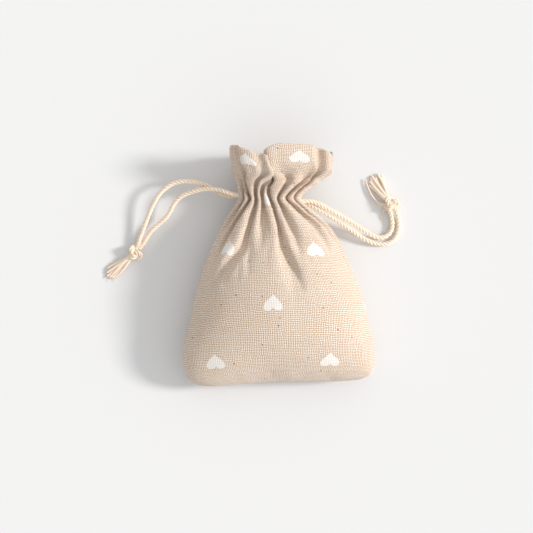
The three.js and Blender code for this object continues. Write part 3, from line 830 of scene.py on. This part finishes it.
def weave(tree, uv):
    """The wandering place on the cloth, the threads' height, and the shade of the thread on top."""
    # Threads are not quite straight: each point of the pattern wanders by up to a third of a thread.
    wander = add_node(tree, "TexNoise", {"Vector": uv, "Scale": 0.35, "Detail": 2}, out="Color")
    wander = add_node(tree, "VectorMath", [wander, (0.5, 0.5, 0.5)], operation="SUBTRACT")
    wander = add_node(tree, "VectorMath", {0: wander, "Scale": 1.1}, operation="SCALE")
    place = add_node(tree, "VectorMath", [uv, wander], operation="ADD")
    turns = add_node(tree, "VectorMath", {0: place, "Scale": math.pi / THREAD_PITCH}, operation="SCALE")
    waves = [add_node(tree, "Math", [part], operation="COSINE")
             for part in add_node(tree, "SeparateXYZ", [turns]).node.outputs[:2]]
    over = add_node(tree, "Math", waves, operation="MULTIPLY")
    # The warp first, then the weft. Each thread has its own shade, which changes slowly along it: noise
    # stretched along the thread.
    on_top, high, tones = [], [], []
    for wave, sign, stretch, start in ((waves[0], 0.5, (1.2, 0.09, 1), (0, 0, 0)),
                                       (waves[1], -0.5, (0.09, 1.2, 1), (7, 3, 0))):
        top = add_node(tree, "Math", [over, sign, 0.5], operation="MULTIPLY_ADD")
        curve_up = add_node(tree, "Math", [wave], operation="ABSOLUTE")
        high.append(add_node(tree, "Math", [curve_up, top], operation="MULTIPLY"))
        long_way = add_node(tree, "Mapping", {0: place, "Scale": stretch, "Location": start})
        tones.append(add_node(tree, "TexNoise", {"Vector": long_way, "Scale": 1.0, "Detail": 1}))
        on_top.append(top)
    height = add_node(tree, "Math", high, operation="MAXIMUM")
    tone = add_node(tree, "Mix", {0: on_top[0], 2: tones[1], 3: tones[0]})
    return place, height, add_node(tree, "MapRange", [tone, 0.3, 0.7])

print("threads to a centimetre:", round(10 / THREAD_PITCH, 1))

# %% Woven cloth
HUSK = "#8F6444"

def woven_cloth(name, pale, deep, painted_gap_shade, printed):
    material, tree, shader = new_material(name)
    uv = add_node(tree, "UVMap", uv_map="UVMap")
    place, height, tone = weave(tree, uv)
    threads = add_node(tree, "Mix", {0: tone, 6: linear(deep), 7: linear(pale)}, data_type="RGBA", out=2)
    # Between the threads the colour goes over to the gap colour: painted shade in the gaps, where the threads
    # shade each other.
    filled = add_node(tree, "MapRange", [height, 0.3, 0.75])
    colour = add_node(tree, "Mix", {0: filled, 6: linear(painted_gap_shade), 7: threads}, data_type="RGBA", out=2)
    # Specks of husk: one spot in a few of the cells of a cell pattern about 6 mm wide.
    cells = add_node(tree, "TexVoronoi", {"Vector": place, "Scale": 0.17}, voronoi_dimensions="2D").node
    dark_cell = add_node(tree, "SeparateColor", [cells.outputs["Color"]])
    dark_cell = add_node(tree, "Math", [dark_cell, 0.82], operation="GREATER_THAN")
    near = add_node(tree, "MapRange", [cells.outputs["Distance"], 0.065, 0.03])
    speck = add_node(tree, "Math", [dark_cell, near], operation="MULTIPLY")
    colour = add_node(tree, "Mix", {0: speck, 6: colour, 7: linear(HUSK)}, data_type="RGBA", out=2)
    if printed:
        colour = hearts_over(tree, place, height, colour)
    # Thread relief is really 0.1 mm. A little more keeps the weave readable at this distance.
    bump = add_node(tree, "Bump", {"Height": height, "Strength": 1.0, "Distance": 0.18 * MM})
    set_inputs(tree, shader, {"Base Color": colour, "Normal": bump, "Roughness": 0.92, "IOR": 1.5,
                              "Sheen Weight": 0.25, "Sheen Roughness": 0.6})
    print("material:", name)
    return material

# %% [markdown]
# The printed hearts stand 45.2 mm apart in each row. The rows are 21.8 mm apart, and every second row is
# shifted sideways by half a pitch, so two plain grids give this pattern. A heart is the curve
# x² + (1.25 y + 0.25 − √|x|)² = 1, stretched to 7.5 by 6.3 mm, with its point towards the mouth of the pouch
# on the front. The strip is folded at the bottom, so on the back the points are towards the bottom. Ink
# sits on the threads and misses the deepest gaps.

# %% Printed hearts
HEART_PITCH = (45.2, 43.6)
HEART_GRIDS = [(38.4, 37.3), (15.8, 15.5)]
HEART_HALF = (3.75, 3.1)
INK = "#FBFAF7"

def hearts_over(tree, place, height, colour):
    half = [pitch / 2 for pitch in HEART_PITCH]
    grids = []
    for column, row in HEART_GRIDS:
        cell = place
        for action, *values in (("ADD", (half[0] - column, half[1] - row, 0)),
                                ("WRAP", (*HEART_PITCH, 1), (0, 0, 0)),
                                ("SUBTRACT", (*half, 0)),
                                ("MULTIPLY", (1 / HEART_HALF[0], -1 / HEART_HALF[1], 1))):
            cell = add_node(tree, "VectorMath", [cell, *values], operation=action)
        x, y = add_node(tree, "SeparateXYZ", [cell]).node.outputs[:2]
        side = add_node(tree, "Math", [x], operation="ABSOLUTE")
        root = add_node(tree, "Math", [side], operation="SQRT")
        lobes = add_node(tree, "Math", [y, 1.25, 0.25], operation="MULTIPLY_ADD")
        lobes = add_node(tree, "Math", [lobes, root], operation="SUBTRACT")
        lobes = add_node(tree, "Math", [lobes, lobes], operation="MULTIPLY")
        curve_value = add_node(tree, "Math", [side, side, lobes], operation="MULTIPLY_ADD")
        grids.append(add_node(tree, "MapRange", [curve_value, 1.12, 0.92]))
    ink = add_node(tree, "Math", grids, operation="MAXIMUM")
    covered = add_node(tree, "MapRange", [height, 0.2, 0.55, 0.55, 0.97])
    ink = add_node(tree, "Math", [ink, covered], operation="MULTIPLY")
    return add_node(tree, "Mix", {0: ink, 6: colour, 7: linear(INK)}, data_type="RGBA", out=2)

# The third colour of each cloth is painted shade in the gaps between its threads.
linen_right = woven_cloth("linen_cotton_plain_weave_printed", "#FFFDF8", "#F8EBDA", "#B9926F", True)
linen_wrong = woven_cloth("linen_cotton_plain_weave_inside", "#FBF3E8", "#EBDAC6", "#B09074", False)
cloth.data.materials.append(linen_right)
cloth.data.materials.append(linen_wrong)

# %% [markdown]
# The cloth stands for the imported panels, casings and headings, which are hidden. When the mouth is
# opened, the front of the neck and of the frill turns up about the belly's crest, and the back and the sides
# stay. The cloth is given LIP for this, but is attached to no body: its place is baked into its mesh.

# %% The cloth's bodies
LIP = ("front_lip", (0, 0.0200, 0.0120), (0, 0.02312, 0.0209))

belongs(cloth, "sack", "cloth", "front_panel", "back_panel", "front_casing", "back_casing",
        "front_heading", "back_heading", between=LIP)

# %% [markdown]
# ## Seam allowances
# Inside each side seam lie 8 mm of both layers, which the seam's stitches hold together. Each is a strip
# made from a grid: one row for each step up the seam, moved to the seam's place and then inwards.

# %% Seam allowances
ALLOWANCE_FROM, ALLOWANCE_TO = 5, 71  # heights up the seam
ALLOWANCE_ROWS = 26
ABOVE_TABLE = 2.2 * MM
INWARDS = {"left": 1, "right": -1}
SEAM_AT = {"left": 0.0, "right": WIDE}

def seam_allowance(side):
    shape = bmesh.new()
    bmesh.ops.create_grid(shape, x_segments=ALLOWANCE_ROWS, y_segments=4, size=0.5)
    uv = shape.loops.layers.uv.new("UVMap")
    spot = {v: (1.0 + (ALLOWANCE - 1.5) * (v.co.y + 0.5),
                ALLOWANCE_FROM + (ALLOWANCE_TO - ALLOWANCE_FROM) * (v.co.x + 0.5)) for v in shape.verts}
    for face in shape.faces:
        for loop in face.loops:
            loop[uv].uv = spot[loop.vert]
    for vertex, (depth, height) in spot.items():
        droop = 0.05 * depth ** 1.6
        vertex.co = on_cloth(True, SEAM_AT[side], height)[0] + Vector((INWARDS[side] * depth, 0, -droop)) * MM
        vertex.co.z = max(vertex.co.z, ABOVE_TABLE)
    piece = new_piece(side + "_seam_allowance_cloth", outwards(shape), [linen_wrong])
    set_values(piece.modifiers.new("TwoLayers", "SOLIDIFY"), thickness=2 * CLOTH_THICK, offset=0)
    belongs(piece, "sack", "cloth", side + "_seam_allowance")
    return piece

allowances = [seam_allowance(side) for side in ("left", "right")]

# %% [markdown]
# ## Stitching
# The casing is held by two rows of running stitches on the front and on the back, and each seam by one row
# inside. A stitch is a short swept tube that lies on the cloth and dips in at both ends. Its sewing thread
# is spun polyester-cotton, a shade paler than the cloth. There are over a hundred, so each has few faces.

# %% Sewing thread finish
sewing_thread = cotton_cord("spun_sewing_thread", "#F3E4D0", "#E2CDB4", 2.0)

# %% Stitches
THREAD = 0.34 * MM
STITCH = 2.6
STITCH_GAP = 0.9
ROW_HEIGHTS = {"lower": 75.6, "upper": 87.0}

def starts(first, last):
    """Where each stitch of a row starts, so that the row ends before last."""
    return np.arange(first, last - STITCH, STITCH + STITCH_GAP)

def stitched(name, places, lift, node, between=None):
    """One row of stitches. places gives the points along each stitch as (point, outward direction)."""
    shape = bmesh.new()
    for path in places:
        line = []
        for k, (point, out) in enumerate(path):
            dip = 1 if k in (0, len(path) - 1) else 0
            line.append(point + out * (lift - 0.5 * dip) * MM)
        sweep(shape, line, [THREAD / 2] * len(line), 5)
    piece = new_piece(name, outwards(shape), [sewing_thread])
    belongs(piece, "sack", "thread", node, between=between)

for face in ("front", "back"):
    for row, height in ROW_HEIGHTS.items():
        places = [[on_cloth(face == "front", at + STITCH * k / 5, height) for k in range(6)]
                  for at in starts(1.2, WIDE - 1)]
        stitched(f"{face}_{row}_row_of_stitches", places, 0.06, f"{face}_{row}_stitching",
                 between=LIP if face == "front" else None)

for side in ("left", "right"):
    beside = Vector((INWARDS[side] * 1.6 * MM, 0, 0))
    places = [[(on_cloth(True, SEAM_AT[side], at + STITCH * k / 3)[0] + beside, Vector((0, 0, 1)))
               for k in range(4)] for at in starts(6.0, 70)]
    stitched(side + "_seam_stitches", places, 0.62, side + "_side_stitching")

# %% [markdown]
# ## The drawstrings inside the casing
# Each drawstring runs across the front and back across the back, in the middle of the gathers, where the
# folds of cloth bunch up along it. It is the same twisted cord as the free strands that it joins. The
# front runs are given LIP, but are attached to no body: their place is baked into their mesh.

# %% Drawstring runs
RUN_STEP = 0.35 * MM
# Each run's y, and its points as (x, z).
RUNS = {
    "left": (26.7, {"front": [(-13.6, 12.0), (-10.6, 11.7), (-3.6, 12.0), (3.0, 11.7), (6.4, 11.0)],
                    "back": [(-13.6, 10.0), (-10.6, 9.7), (-3.6, 9.5), (3.0, 9.6), (6.2, 9.8)]}),
    "right": (24.5, {"front": [(6.4, 12.0), (3.4, 11.7), (-3.6, 12.0), (-10.2, 11.7), (-13.2, 11.0)],
                     "back": [(6.4, 10.0), (3.4, 9.7), (-3.6, 9.5), (-10.2, 9.6), (-13.0, 9.8)]}),
}
for side, (y, runs) in RUNS.items():
    for part, points in runs.items():
        shape = bmesh.new()
        twisted_cord(shape, smooth_line(in_metres([(x, y, z) for x, z in points]), RUN_STEP))
        piece = new_piece(f"{side}_cord_in_{part}_casing", outwards(shape), [twisted_cotton])
        belongs(piece, "sack", "cord", f"{side}_drawstring_{part}", between=LIP if part == "front" else None)

# %% [markdown]
# ## Table and light
# The pouch lies on a smooth, matt, nearly white table. Most of the light comes from everywhere, as in a
# room with white walls that is brighter towards its right side, and one soft window-like light from the
# right, about 30 degrees up, gives the shadow to the left and shows the folds and the weave.

# %% Table and light
TABLE_SIZE = 1.5
BELOW_POUCH = 0.05 * MM
FROM_WINDOW = Vector((0.85, 0.09, 0.5))

shape = bmesh.new()
bmesh.ops.create_grid(shape, x_segments=1, y_segments=1, size=TABLE_SIZE)
bmesh.ops.translate(shape, verts=shape.verts, vec=(0, 0, -BELOW_POUCH))
matt_white, tree, shader = new_material("matt_white_table")
set_inputs(tree, shader, {"Base Color": linear("#E4E5E7"), "Roughness": 0.9, "Specular IOR Level": 0.2})
new_piece("table", shape, [matt_white])

window = bpy.data.lights.new("window_light", "SUN")
window.angle = math.radians(11)
window.energy = 2.55
window.color = linear("#FFFCF8")[:3]
light = bpy.data.objects.new("window_light", window)
light.rotation_euler = (-FROM_WINDOW).to_track_quat("-Z", "Y").to_euler()
bpy.context.scene.collection.objects.link(light)
room = bpy.data.worlds.new("white_room")
room.use_nodes = True
tree = room.node_tree
towards = add_node(tree, "TexCoord", out="Generated")
sideways = add_node(tree, "SeparateXYZ", [towards])
brightness = add_node(tree, "MapRange", [sideways, -0.9, 0.9, 0.52, 1.0])
set_inputs(tree, tree.nodes["Background"], {"Color": linear("#FFFEFC"), "Strength": brightness})
bpy.context.scene.world = room
bpy.context.scene.view_settings.view_transform = "Standard"
bpy.context.view_layer.update()
print("window light:", window.energy, "from", list(FROM_WINDOW))
